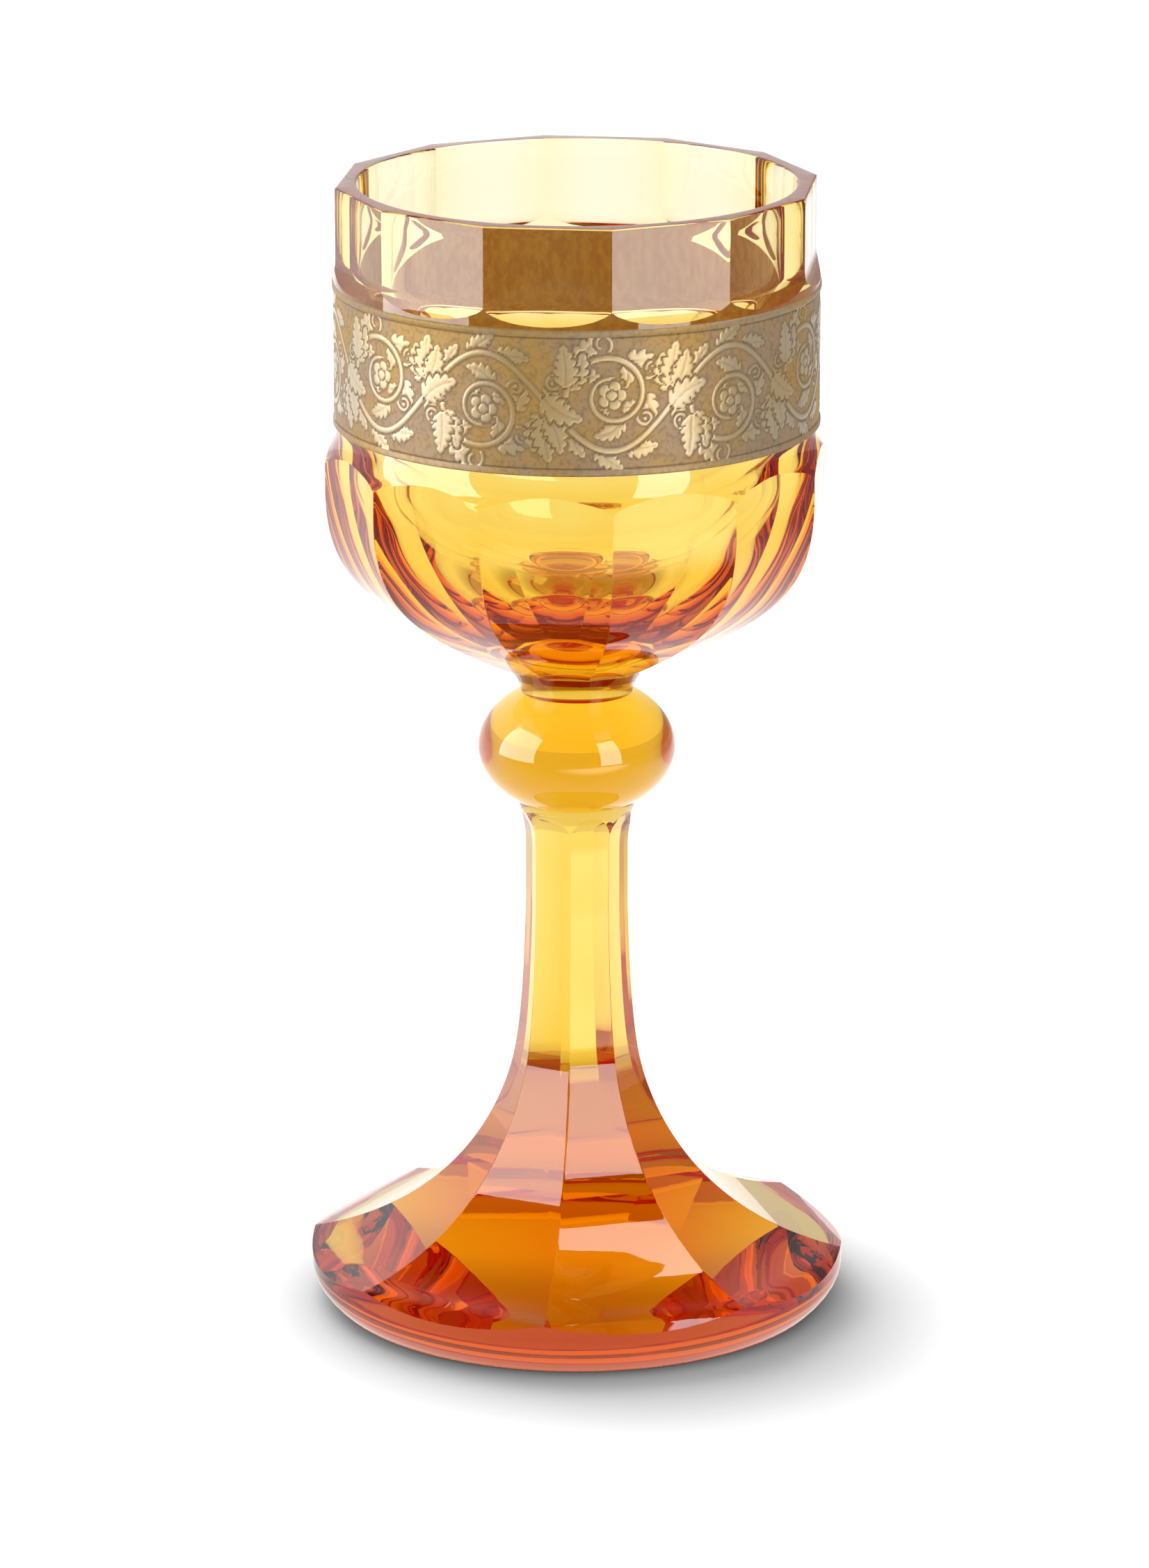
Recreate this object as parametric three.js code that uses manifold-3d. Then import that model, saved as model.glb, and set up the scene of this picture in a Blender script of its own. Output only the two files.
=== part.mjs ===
// A cut-glass goblet with a gilt frieze: foot, stem, knop, merese, bowl and gilt band, stacked on one axis.
// Millimetres, +Z up, origin at the middle of the foot's underside, with the goblet's front towards -Y.
import * as THREE from 'three';
import { mergeVertices } from 'three/addons/utils/BufferGeometryUtils.js';
import Module from 'manifold-3d';

const wasm = await Module();
wasm.setup();

// Cutting: counts of cut sides, and the bearing in degrees, from the front towards +X, where ridges line up.
const bowlSides = 12;
const footSides = 8;
const ridgeBearing = 38;

// Fineness of round sections and of curved outlines.
const roundSegments = 48;
const curveSteps = 8;

// Foot: a round disc whose top is cut into flat sides that sweep up to the stem.
const footRadius = 44.6;
const footUndercut = 3.0;
const footRimHeight = 6.0;
const footRidgeHeight = 9.0;
const footRidgeDrop = 0.7;
const footScallop = 5.4;
const footHeight = 39.5;
const footEdgePull = { inward: 20.5, up: 4.2 };
const footNeckPull = { outward: 3.45, down: 12.5 };

// Stem: cut to the same sides as the foot, and round where it spreads to meet the knop.
const stemHeight = 46.7;
const stemFootRadius = 11.05;
const stemRadius = 8.55;
const stemTopRadius = 10.0;
const stemSpreadHeight = 5.8;
const stemSweepHeight = 28.5;
const stemFootPull = { inward: 1.65, up: 6.0 };
const stemSweepPull = { outward: 0.35, down: 12.0 };
const stemBlankMargin = 0.25;
const stemCutRunOut = 2.0;
const stemCutTop = 0.8;

// Knop: a flattened ball, ground flat where the stem and the merese join it.
const knopRadius = 16.35;
const knopHalfHeight = 11.4;

// Merese: the small collar between the knop and the bowl.
const mereseHeight = 4.8;
const mereseLowerRadius = 9.2;
const mereseUpperRadius = 12.0;
const mereseHollow = 0.8;

// Bowl: fluted up to its shoulder, drawn in at the waist, and cut into panels between the band and the rim.
const bowlRadius = 41.5;
const shoulderHeight = 34.2;
const waistHeight = 6.6;
const panelHeight = 16.1;
const cupRadius = 39.6;
const waistInset = 0.4;
const bowlLedge = 1.5;
const shoulderTurn = { inward: 1.1, up: 2.5 };
const lowerBowlPull = { outward: 21.0, up: 9.9 };
const upperBowlPull = { outward: 0.65, down: 17.6 };
const fluteDepth = 0.3;
const fluteRunOut = 4.6;
const panelDepth = 0.15;
const panelRunOut = 4.1;
const panelClear = 0.5;

// Hollow of the bowl, round all the way down.
const rimWall = 2.9;
const shoulderWall = 5.3;
const bowlFloor = 9.0;
const floorPull = 22.4;
const hollowRise = 8.2;
const hollowEase = 5.0;

// Gilt band: a thin ring in a shallow seat between the waist and the panels.
const bandHeight = 23.6;
const bandSeatDepth = 1.0;
const bandClearance = 0.3;
const bandThickness = 0.9;
const bandLip = 0.25;
const bandLipHeight = 1.9;

// How far a cutter reaches past the glass that it cuts.
const overshoot = 6;

// Places along the axis, one piece standing on the next.
const knopLowerReach = knopHalfHeight * Math.sqrt(1 - (stemTopRadius / knopRadius) ** 2);
const knopUpperReach = knopHalfHeight * Math.sqrt(1 - (mereseLowerRadius / knopRadius) ** 2);
const stemFoot = footHeight;
const knopFoot = stemFoot + stemHeight;
const knopMiddle = knopFoot + knopLowerReach;
const mereseFoot = knopMiddle + knopUpperReach;
const bowlFoot = mereseFoot + mereseHeight;
const shoulder = bowlFoot + shoulderHeight;
const bandFoot = shoulder + waistHeight;
const bandTop = bandFoot + bandHeight;
const rim = bandTop + panelHeight;

// Radii that follow from the sizes above.
const waistRadius = cupRadius - waistInset;
const bandSeatRadius = cupRadius - bandSeatDepth;
const bandInnerRadius = bandSeatRadius + bandClearance;
const bandOuterRadius = bandInnerRadius + bandThickness;
const bowlFootRadius = mereseUpperRadius + bowlLedge;
const panelRidgeRadius = cupRadius - panelDepth;
const rimHollowRadius = panelRidgeRadius * flatShare(bowlSides) - rimWall;

const amberGlass = new THREE.MeshStandardMaterial({ color: 0xf0a21c, roughness: 0.05, metalness: 0 });
const gilding = new THREE.MeshStandardMaterial({ color: 0xb08a55, roughness: 0.35, metalness: 1 });

// The radius at the middle of a flat side, as a share of the radius at its ridges.
function flatShare(sides) {
  return Math.cos(Math.PI / sides);
}

// A solid turned about +Z with the given number of sides. The outline holds (radius, height) and runs upwards.
function turned(outline, sides) {
  const start = THREE.MathUtils.degToRad(ridgeBearing);
  const lathe = new THREE.LatheGeometry(outline.getPoints(curveSteps), sides, start);
  lathe.rotateX(Math.PI / 2);
  lathe.deleteAttribute('normal');
  lathe.deleteAttribute('uv');
  const merged = mergeVertices(lathe, 1e-4);
  const corners = Array.from(merged.index.array);
  const triangles = [];
  for (let i = 0; i < corners.length; i += 3) {
    const [a, b, c] = corners.slice(i, i + 3);
    if (a !== b && b !== c && c !== a) triangles.push(a, b, c);
  }
  return new wasm.Manifold(new wasm.Mesh({
    numProp: 3,
    vertProperties: new Float32Array(merged.attributes.position.array),
    triVerts: new Uint32Array(triangles),
  }));
}

function piece(name, solid, material) {
  const { vertProperties, triVerts } = solid.getMesh();
  const geometry = new THREE.BufferGeometry();
  geometry.setAttribute('position', new THREE.BufferAttribute(vertProperties, 3));
  geometry.setIndex(new THREE.BufferAttribute(triVerts, 1));
  geometry.computeVertexNormals();
  const mesh = new THREE.Mesh(geometry, material);
  mesh.name = name;
  return mesh;
}

// The round disc before cutting, drawn in below its widest edge.
function footDisc() {
  const outline = new THREE.Path();
  outline.moveTo(0, 0);
  outline.lineTo(footRadius - footUndercut, 0);
  outline.quadraticCurveTo(footRadius, footRimHeight / 3, footRadius, footRimHeight);
  outline.lineTo(footRadius, footHeight);
  outline.lineTo(0, footHeight);
  return turned(outline, roundSegments);
}

// The cut sides fall away past the disc's edge, so that each one ends there in a scallop.
function footSidesCut() {
  const sideReach = footRadius / flatShare(footSides);
  const outline = new THREE.Path();
  outline.moveTo(0, -overshoot);
  outline.lineTo(sideReach + overshoot, -overshoot);
  outline.lineTo(sideReach + overshoot, footRidgeHeight - footScallop);
  outline.quadraticCurveTo(sideReach, footRidgeHeight - footRidgeDrop, footRadius, footRidgeHeight);
  outline.bezierCurveTo(
    footRadius - footEdgePull.inward, footRidgeHeight + footEdgePull.up,
    stemFootRadius + footNeckPull.outward, footHeight - footNeckPull.down,
    stemFootRadius, footHeight,
  );
  outline.lineTo(0, footHeight);
  return turned(outline, footSides);
}

function foot() {
  return footDisc().intersect(footSidesCut());
}

// The round stem before cutting: a taper that spreads at the top.
function stemBlank() {
  const outline = new THREE.Path();
  outline.moveTo(0, stemFoot);
  outline.lineTo(stemFootRadius + overshoot, stemFoot);
  outline.lineTo(stemRadius + stemBlankMargin, knopFoot - stemSpreadHeight);
  outline.quadraticCurveTo(stemRadius + stemBlankMargin, knopFoot - stemSpreadHeight / 2, stemTopRadius, knopFoot);
  outline.lineTo(0, knopFoot);
  return turned(outline, roundSegments);
}

// Flat sides that go on from the foot's, and run out in arches under the knop.
function stemSidesCut() {
  const cutTopRadius = stemTopRadius / flatShare(footSides);
  const sweepTop = stemFoot + stemSweepHeight;
  const outline = new THREE.Path();
  outline.moveTo(0, stemFoot);
  outline.lineTo(stemFootRadius, stemFoot);
  outline.bezierCurveTo(
    stemFootRadius - stemFootPull.inward, stemFoot + stemFootPull.up,
    stemRadius + stemSweepPull.outward, sweepTop - stemSweepPull.down,
    stemRadius, sweepTop,
  );
  outline.lineTo(stemRadius, knopFoot - stemSpreadHeight - stemCutRunOut);
  outline.quadraticCurveTo(stemRadius, knopFoot - stemSpreadHeight / 2, cutTopRadius, knopFoot - stemCutTop);
  outline.lineTo(cutTopRadius + overshoot, knopFoot);
  outline.lineTo(0, knopFoot);
  return turned(outline, footSides);
}

function stem() {
  return stemBlank().intersect(stemSidesCut());
}

function knop() {
  const lowAngle = -Math.acos(stemTopRadius / knopRadius);
  const highAngle = Math.acos(mereseLowerRadius / knopRadius);
  const outline = new THREE.Path();
  outline.moveTo(0, knopFoot);
  outline.lineTo(stemTopRadius, knopFoot);
  outline.absellipse(0, knopMiddle, knopRadius, knopHalfHeight, lowAngle, highAngle);
  outline.lineTo(0, mereseFoot);
  return turned(outline, roundSegments);
}

function merese() {
  const middleRadius = (mereseLowerRadius + mereseUpperRadius) / 2 - mereseHollow;
  const outline = new THREE.Path();
  outline.moveTo(0, mereseFoot);
  outline.lineTo(mereseLowerRadius, mereseFoot);
  outline.quadraticCurveTo(middleRadius, mereseFoot + mereseHeight / 2, mereseUpperRadius, bowlFoot);
  outline.lineTo(0, bowlFoot);
  return turned(outline, roundSegments);
}

// The curve of the bowl from its foot out to its widest point, cut in by a depth.
function lowerBowl(outline, depth) {
  outline.lineTo(bowlFootRadius - depth, bowlFoot);
  outline.bezierCurveTo(
    bowlFootRadius - depth + lowerBowlPull.outward, bowlFoot + lowerBowlPull.up,
    bowlRadius - depth + upperBowlPull.outward, shoulder - upperBowlPull.down,
    bowlRadius - depth, shoulder,
  );
}

function bowlBlank() {
  const turnRadius = bowlRadius - shoulderTurn.inward;
  const turnTop = shoulder + shoulderTurn.up;
  const outline = new THREE.Path();
  outline.moveTo(0, bowlFoot);
  lowerBowl(outline, 0);
  outline.quadraticCurveTo(bowlRadius, shoulder + shoulderTurn.up / 2, turnRadius, turnTop);
  outline.quadraticCurveTo(waistRadius, (turnTop + bandFoot) / 2, waistRadius, bandFoot);
  outline.lineTo(bandSeatRadius, bandFoot);
  outline.lineTo(bandSeatRadius, bandTop);
  outline.lineTo(cupRadius, bandTop);
  outline.lineTo(cupRadius, rim);
  outline.lineTo(0, rim);
  return turned(outline, roundSegments);
}

// Flutes below the shoulder and panels above the band, each set running out against the round blank.
function bowlSidesCut() {
  const clearRadius = Math.max(bowlRadius, cupRadius) / flatShare(bowlSides) + overshoot;
  const fluteTop = shoulder + shoulderTurn.up;
  const outline = new THREE.Path();
  outline.moveTo(0, bowlFoot - overshoot);
  outline.lineTo(bowlFootRadius - fluteDepth, bowlFoot - overshoot);
  lowerBowl(outline, fluteDepth);
  outline.lineTo((bowlRadius - shoulderTurn.inward) / flatShare(bowlSides), fluteTop);
  outline.lineTo(clearRadius, fluteTop + fluteRunOut);
  outline.lineTo(clearRadius, bandTop - overshoot);
  outline.lineTo(cupRadius / flatShare(bowlSides), bandTop + panelClear);
  outline.quadraticCurveTo(panelRidgeRadius, bandTop + panelRunOut / 2, panelRidgeRadius, bandTop + panelRunOut);
  outline.lineTo(panelRidgeRadius, rim + overshoot);
  outline.lineTo(0, rim + overshoot);
  return turned(outline, bowlSides);
}

function bowlHollow() {
  const hollowRadius = bowlRadius - shoulderWall;
  const floor = bowlFoot + bowlFloor;
  const outline = new THREE.Path();
  outline.moveTo(0, floor);
  outline.bezierCurveTo(floorPull, floor, hollowRadius, floor + hollowRise, hollowRadius, shoulder);
  outline.bezierCurveTo(
    hollowRadius, shoulder + hollowEase,
    rimHollowRadius, bandFoot,
    rimHollowRadius, bandFoot + hollowEase,
  );
  outline.lineTo(rimHollowRadius, rim + overshoot);
  outline.lineTo(0, rim + overshoot);
  return turned(outline, roundSegments);
}

function bowl() {
  return bowlBlank().intersect(bowlSidesCut()).subtract(bowlHollow());
}

// A thin ring with a raised lip along each edge of the field that carries the ornament.
function giltBand() {
  const fieldRadius = bandOuterRadius - bandLip;
  const outline = new THREE.Path();
  outline.moveTo(bandInnerRadius, bandTop);
  outline.lineTo(bandInnerRadius, bandFoot);
  outline.lineTo(bandOuterRadius, bandFoot);
  outline.lineTo(bandOuterRadius, bandFoot + bandLipHeight - bandLip);
  outline.lineTo(fieldRadius, bandFoot + bandLipHeight);
  outline.lineTo(fieldRadius, bandTop - bandLipHeight);
  outline.lineTo(bandOuterRadius, bandTop - bandLipHeight + bandLip);
  outline.lineTo(bandOuterRadius, bandTop);
  outline.lineTo(bandInnerRadius, bandTop);
  return turned(outline, roundSegments);
}

const goblet = new THREE.Group();
goblet.add(piece('foot', foot(), amberGlass));
goblet.add(piece('stem', stem(), amberGlass));
goblet.add(piece('knop', knop(), amberGlass));
goblet.add(piece('merese', merese(), amberGlass));
goblet.add(piece('bowl', bowl(), amberGlass));
goblet.add(piece('gilt_band', giltBand(), gilding));

export default goblet;
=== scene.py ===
"""A goblet of amber cut glass with a gilt band, dressed over the CAD frame."""
import math

import bpy
import numpy as np
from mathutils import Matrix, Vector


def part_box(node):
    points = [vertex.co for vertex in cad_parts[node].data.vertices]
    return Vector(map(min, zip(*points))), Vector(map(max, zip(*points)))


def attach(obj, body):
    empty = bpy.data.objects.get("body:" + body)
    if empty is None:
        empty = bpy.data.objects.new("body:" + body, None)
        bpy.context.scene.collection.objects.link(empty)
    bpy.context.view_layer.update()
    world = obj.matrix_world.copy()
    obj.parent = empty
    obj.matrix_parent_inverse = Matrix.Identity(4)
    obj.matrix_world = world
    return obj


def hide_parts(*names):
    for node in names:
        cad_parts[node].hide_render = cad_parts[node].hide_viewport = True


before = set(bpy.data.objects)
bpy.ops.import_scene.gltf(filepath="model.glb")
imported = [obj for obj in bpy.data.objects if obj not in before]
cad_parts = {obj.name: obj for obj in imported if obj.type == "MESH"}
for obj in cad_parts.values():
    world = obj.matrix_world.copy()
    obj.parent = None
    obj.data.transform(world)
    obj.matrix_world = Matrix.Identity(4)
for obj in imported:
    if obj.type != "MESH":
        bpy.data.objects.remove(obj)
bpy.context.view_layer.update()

# The goblet's sizes are in millimetres, and become metres where its meshes are made.
MM = 0.001


def foot_of(node):
    """The height of a node's lowest point."""
    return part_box(node)[0][2] / MM


def top_of(node):
    """The height of a node's highest point."""
    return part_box(node)[1][2] / MM


# Heights where one piece of glass meets the next, and where the band sits.
stem_foot = foot_of("stem")
knop_foot = foot_of("knop")
merese_foot = foot_of("merese")
bowl_foot = foot_of("bowl")
band_foot = foot_of("gilt_band")
band_top = top_of("gilt_band")
rim = top_of("bowl")

# The sides cut round the goblet, and the bearing of one ridge, from the front towards +X.
bowl_sides = 12
foot_sides = 8
ridge_bearing = math.radians(38)

# Ridges are polished to these small radii.
bowl_ridge_round = 0.35
foot_ridge_round = 0.35
stem_ridge_round = 0.2

# Neighbouring pieces of glass are this far apart where they join.
joint_gap = 0.02

# Columns of points round a turned piece.
round_columns = 144

# A pull is how far a curve's control point lies from the curve's end, sideways and up or down.

# Foot. The cut sides reach past the disc's edge by the spare, and end there in scallops.
foot_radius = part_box("foot")[1][0] / MM
foot_undercut = 3.7
foot_base_edge = 0.3
foot_rim_height = 6.0
foot_ridge_height = 9.0
foot_scallop_foot = foot_ridge_height - 4.5
foot_scallop_top = foot_ridge_height + 1.0
foot_spare = 6.0
foot_ease = (1.2, 0.35)
foot_edge_pull = (20.5, 4.2)
foot_neck_pull = (3.45, 12.5)

# Rows of points on the foot: the height from which they are level, and the gap above the first of these.
foot_level = foot_ridge_height + 0.8
foot_row_gap = 0.1

# Stem. The cut sides run out under the round spread below the knop.
stem_foot_radius = 11.05
stem_radius = 8.55
stem_top_radius = 10.0
stem_sweep_top = stem_foot + 28.5
stem_spread = 5.8
stem_run_out = 2.0
stem_cut_top = knop_foot - 0.8
stem_highest_edge = knop_foot - 0.1
stem_cut_spare = 2.0
stem_blank_margin = 0.25
stem_blank_spare = 6.0
stem_foot_pull = (1.65, 6.0)
stem_sweep_pull = (0.35, 12.0)

# Knop and merese.
knop_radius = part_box("knop")[1][0] / MM
knop_rows = 57
merese_lower_radius = 9.2
merese_upper_radius = 12.0
merese_hollow = 0.8

# Bowl, the round shape before it is cut. It turns in over the shoulder to a waist that the band covers.
bowl_radius = 41.5
bowl_foot_radius = merese_upper_radius + 1.5
lower_bowl_pull = (21.0, 9.9)
upper_bowl_pull = (0.65, 17.6)
shoulder = bowl_foot + 34.2
turn_radius = bowl_radius - 1.1
turn_top = shoulder + 2.5
waist_radius = 39.2
waist_top = band_top - 2.0
cup_radius = 39.6
cup_foot = band_top - 1.0

# Flutes of the lower bowl. Their arches lie between the lowest and highest edge.
flute_shoulder = shoulder - 4.2
flute_top_radius = bowl_radius - 0.04
flute_depth = 0.3
flute_pull = (-0.2, 14.5)
flute_lowest_edge = flute_shoulder - 1.0
flute_highest_edge = turn_top + 2.0
flute_spare = (6.0, 1.0)

# Panels of the cup. They run out in arches over the band.
panel_ridge_radius = cup_radius - 0.15
panel_foot = band_top + 0.5
panel_run_out = 4.1
panel_top = band_top + panel_run_out
panel_margin = 0.5
panel_spare = 4.0

# Rows of points on the bowl: gaps between some of them, and the heights where their spacing changes.
flute_row_gap = 0.2
last_flute_row = flute_shoulder - 2.0
arch_row_gap = 0.5
turn_level = turn_top + 1.8
panel_level = panel_top + 1.0

# Hollow of the bowl, and its rim.
rim_wall = 2.4
rim_edge = 0.35
bowl_floor = bowl_foot + 10.6
floor_pull = 17.0
hollow_rise = 8.0
hollow_radius = bowl_radius - 6.8
hollow_ease = 5.0

# Gilt band. Its inner face lies just inside the glass.
band_inner_radius = waist_radius - 0.1
band_outer_radius = 39.8
band_lip = 0.15
band_lip_height = 1.2
lip_ease = 0.12
lip_step = 0.3
lip_chamfer = 0.2
lip_polish = 0.35
crisp_angle = math.radians(40)

# The band's ornament: its repeats, the grid of points in one repeat, its rise, and the gap round each shape.
band_repeats = 6
relief_columns = 180
relief_lines = 80
relief_rise = 0.09
relief_gap = 0.3

# Its waving stem, and the scrolls that wind in to a flower in each bend. Widths are half widths.
stem_wave = 7.7
stem_width = 0.58
volute_reach = 7.9
volute_lift = 1.3
volute_start = math.radians(212)
volute_winding = math.radians(520)
volute_closing = 1.15
volute_width = (0.62, 0.42)
tendril_width = (0.42, 0.34)
tendril_closing = 1.6

# Where leaves and tendrils leave a scroll, by the number of its point, and their lengths.
volute_points = 110
outer_leaves = ((2, 7.0), (15, 7.2), (30, 7.0), (44, 6.6), (58, 6.0))
inner_leaves = ((12, 5.4), (30, 5.0), (48, 4.4), (66, 3.6))
tendrils = ((8, 8.0), (22, 8.0), (36, 8.0), (50, 7.0))

# The angle at which they leave it, and how far they then bend, in radians.
outer_leaf_turn = (0.75, -1.1)
inner_leaf_turn = (-0.55, -1.2)
tendril_turn = (0.35, 5.5)

# Leaves along the waving stem: its angle at each, how they leave it and bend, and their length.
wave_leaves = (-1.07, -0.38, 0.31)
wave_leaf_turn = (-0.5, 0.5)
wave_leaf_length = 6.0

# Leaves where one bend goes over into the next: place along and up, heading, length and bend.
crossing_leaves = (
    (0.0, 2.0, 2.5, 7.0, -1.3),
    (0.0, 2.0, 1.75, 8.0, -0.5),
    (0.0, 2.0, 0.9, 7.0, 0.7),
    (3.0, -2.5, -0.75, 7.0, -0.8),
    (3.0, -2.5, -1.5, 7.5, -0.3),
    (-0.6, -1.2, 0.95, 8.0, -0.9),
)

# A leaf: its half width as a share of its length, the powers that shape it, its lobes, and its vein.
leaf_spread = 0.30
leaf_belly = 0.62
leaf_blunt = 0.75
leaf_sweep = 0.55
lobe_start = 0.06
lobe_depth = 0.5
lobe_round = 0.6
vein_reach = (0.05, 0.85)
vein_width = 0.22
vein_depth = 0.55

# A flower: its size, its petals and its boss as shares of that, and the lines cut between them.
flower_size = 2.5
flower_petals = 5
petal_notch = 0.32
petal_round = 0.7
petal_line = 0.16
petal_foot = 0.4
boss_size = 0.36
boss_line = 0.17
flower_line_depth = 0.7

# A bump is a strength and a height in metres. Patches, pits and waves are counts per metre.

# Glass: its index, its colour over depth, and the faint waves of a polished surface.
glass_index = 1.52
glass_colour = (0.9914, 0.8286, 0.0357, 1.0)
glass_density = 140.0
polish_waves = 60.0
polish_bump = (0.3, 0.0001)

# Gilding: bright and tarnished gold on the ground and on the ornament, and the gold seen through the glass,
# which is partly painted light: brightened to stand in for lamp light that the glass keeps from it.
gold_ground = (0.48, 0.285, 0.075)
tarnished_ground = (0.40, 0.275, 0.165)
gold_figure = (0.50, 0.35, 0.15)
tarnished_figure = (0.51, 0.40, 0.25)
ground_pits = (0.20, 0.13, 0.07)
# Painted shade: the gaps beside the ornament and along the lips are darkened towards gap_shade, by the share
# gap_shading.
gap_shade = (0.09, 0.055, 0.03)
inside_gold_with_painted_light = (0.85, 0.50, 0.08)
inside_pale_gold_with_painted_light = (1.0, 0.72, 0.20)
gap_shading = 0.7

# The gilding's patches and pits, and its finish, on the ground first and then on the ornament.
gilt_patches = 80.0
gilt_pits = 1400.0
inside_patches = 420.0
gilt_metallic = (0.15, 0.4)
gilt_lacquer = (0.1, 0.7)
gilt_roughness = (0.50, 0.34)
pit_roughness = 0.12
gilt_bump = (0.35, 0.0001)

# Studio, in metres. A film of air lies between the foot and the paper it stands on.
floor_gap = 0.0001
floor_radius = 4.0
paper_colour = (0.72, 0.72, 0.72, 1.0)
white = (1.0, 1.0, 1.0)
# Painted warm light: the paper's glow to glass and gilding turns this colour in front and near the foot, for
# amber light through the glass.
painted_warm_light = (1.0, 0.88, 0.6)
# The middle of a painted shadow on the paper, and of a painted pool of light by the right box, with the
# scale that stretches that pool along X.
painted_shadow_middle = (0.006, -0.010, 0.0)
painted_light_pool_middle = (0.12, -0.37, 0.0)
painted_light_pool_squeeze = (0.6, 1.0, 1.0)

# Camera: its place in metres, its tilt, and its lens and the height of its frame in millimetres.
camera_place = (-0.00038, -1.1695, 0.4252)
camera_tilt = math.radians(73.93)
camera_lens = 168.6
camera_frame = 36.0


def flat_share(sides):
    """The radius at the middle of a flat side, as a share of the radius at its ridges."""
    return math.cos(math.pi / sides)


def curve(*points, steps=32):
    """(radius, height) points along the Bezier curve that these points pull."""
    share = np.linspace(0.0, 1.0, steps + 1)[:, None]
    level = [np.ones_like(share) * np.array(point, float) for point in points]
    while len(level) > 1:
        level = [start + (end - start) * share for start, end in zip(level, level[1:])]
    return level[0]


def outline(*stretches):
    """One run of (radius, height) points from curves and single points."""
    return np.vstack([np.atleast_2d(stretch) for stretch in stretches])


def round_edge(radius, height, size, start, end, steps=4):
    """(radius, height) points round an edge, about a centre, between two angles in degrees."""
    angle = np.radians(np.linspace(start, end, steps + 1))
    return np.stack([radius + size * np.cos(angle), height + size * np.sin(angle)], axis=1)


def radius_at(line, height):
    """The radius of an upward outline at a height."""
    return np.interp(height, line[:, 1], line[:, 0])


class CutSides:
    """Flat sides round the axis, with ridges polished to a small radius.

    A column of points is a place across one side: share runs along the flat from -1 to 1,
    and turn is how far the surface has turned round the ridge at either end of it.
    """

    def __init__(self, sides, ridge_round, flat_steps, ridge_steps=2):
        half = math.pi / sides
        # Columns crowd at both ends of a flat, beside the ridges.
        flat = np.concatenate([[-1.0, -0.97], np.linspace(-0.9, 0.9, flat_steps - 3), [0.97, 1.0]])
        rising = np.linspace(-half, 0.0, ridge_steps + 1)[:-1]
        falling = np.linspace(0.0, half, ridge_steps + 1)[1:-1]
        share = np.concatenate([-np.ones(len(rising)), flat, np.ones(len(falling))])
        turn = np.concatenate([rising, np.zeros(len(flat)), falling])
        centres = ridge_bearing + half + np.arange(sides) * 2 * half
        self.half = half
        self.round = ridge_round
        self.share = np.tile(share, sides)
        self.turn = np.tile(turn, sides)
        self.centre = np.repeat(centres, len(share))
        self.columns = len(self.share)

    def place(self, ridge_radius):
        """(radius, bearing) of every column, where the sharp ridges would have this radius."""
        inner = np.asarray(ridge_radius) * math.cos(self.half) - self.round
        out = inner + self.round * np.cos(self.turn)
        along = inner * math.tan(self.half) * self.share + self.round * np.sin(self.turn)
        return np.hypot(out, along), self.centre + np.arctan2(along, out)

    def crossing(self, cut, blank, low, high, halvings=40):
        """The height in each column where the cut sides meet the round blank."""
        low = np.full(self.columns, float(low))
        high = np.full(self.columns, float(high))
        starts_outside = self.place(radius_at(cut, low))[0] > radius_at(blank, low)
        for _ in range(halvings):
            middle = (low + high) / 2
            outside = self.place(radius_at(cut, middle))[0] > radius_at(blank, middle)
            same = outside == starts_outside
            low = np.where(same, middle, low)
            high = np.where(same, high, middle)
        return (low + high) / 2


def between(start, end, steps):
    """Rows of heights from start to end in every column, without the last row."""
    start, end = np.broadcast_arrays(np.asarray(start, float), np.asarray(end, float))
    share = np.arange(steps)[:, None] / steps
    return start + (end - start) * share


def rows(columns, *stretches):
    """Stretches of rows one after the other, each as wide as the columns."""
    return np.concatenate([np.broadcast_to(stretch, (len(stretch), columns)) for stretch in stretches])


def even_bearings(columns):
    """Bearings of evenly spaced columns."""
    return ridge_bearing + np.arange(columns) * 2 * math.pi / columns


def ring_points(radius, bearing, height):
    """Points (x, y, z) of rows of rings."""
    radius, bearing, height = np.broadcast_arrays(radius, bearing, height)
    return np.stack([radius * np.sin(bearing), -radius * np.cos(bearing), height], axis=-1)


def flat_rings(sides, cut, heights):
    """Rings on the cut sides, at rows of heights."""
    radius, bearing = sides.place(radius_at(cut, heights))
    return ring_points(radius, bearing, heights)


def round_rings(bearing, blank, heights):
    """Rings on a round outline, at rows of heights."""
    return ring_points(radius_at(blank, heights), bearing, heights)


def turned_rings(bearing, line):
    """Rings through each point of an outline, which may run in any direction."""
    return ring_points(line[:, 0][:, None], bearing[None, :], line[:, 1][:, None])


def ring_faces(count, columns, closed):
    """Quads between neighbouring rings. A closed run goes from the last ring back to the first."""
    last = count if closed else count - 1
    ring, column = np.meshgrid(np.arange(last), np.arange(columns), indexing="ij")
    ring = ring.ravel()
    column = column.ravel()
    above = (ring + 1) % count
    beside = (column + 1) % columns
    return np.stack([ring * columns + column, ring * columns + beside,
                     above * columns + beside, above * columns + column], axis=1)


def new_piece(name, points, faces):
    """A smooth-shaded mesh object, from points in millimetres."""
    mesh = bpy.data.meshes.new(name)
    mesh.from_pydata((np.asarray(points) * MM).tolist(), [], faces)
    mesh.update()
    mesh.shade_smooth()
    piece = bpy.data.objects.new(name, mesh)
    bpy.context.collection.objects.link(piece)
    return piece


def store(piece, name, kind, values):
    """Keeps a number on every face or point of a piece, for its material."""
    piece.data.attributes.new(name, "FLOAT", kind).data.foreach_set("value", values.ravel())


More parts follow.
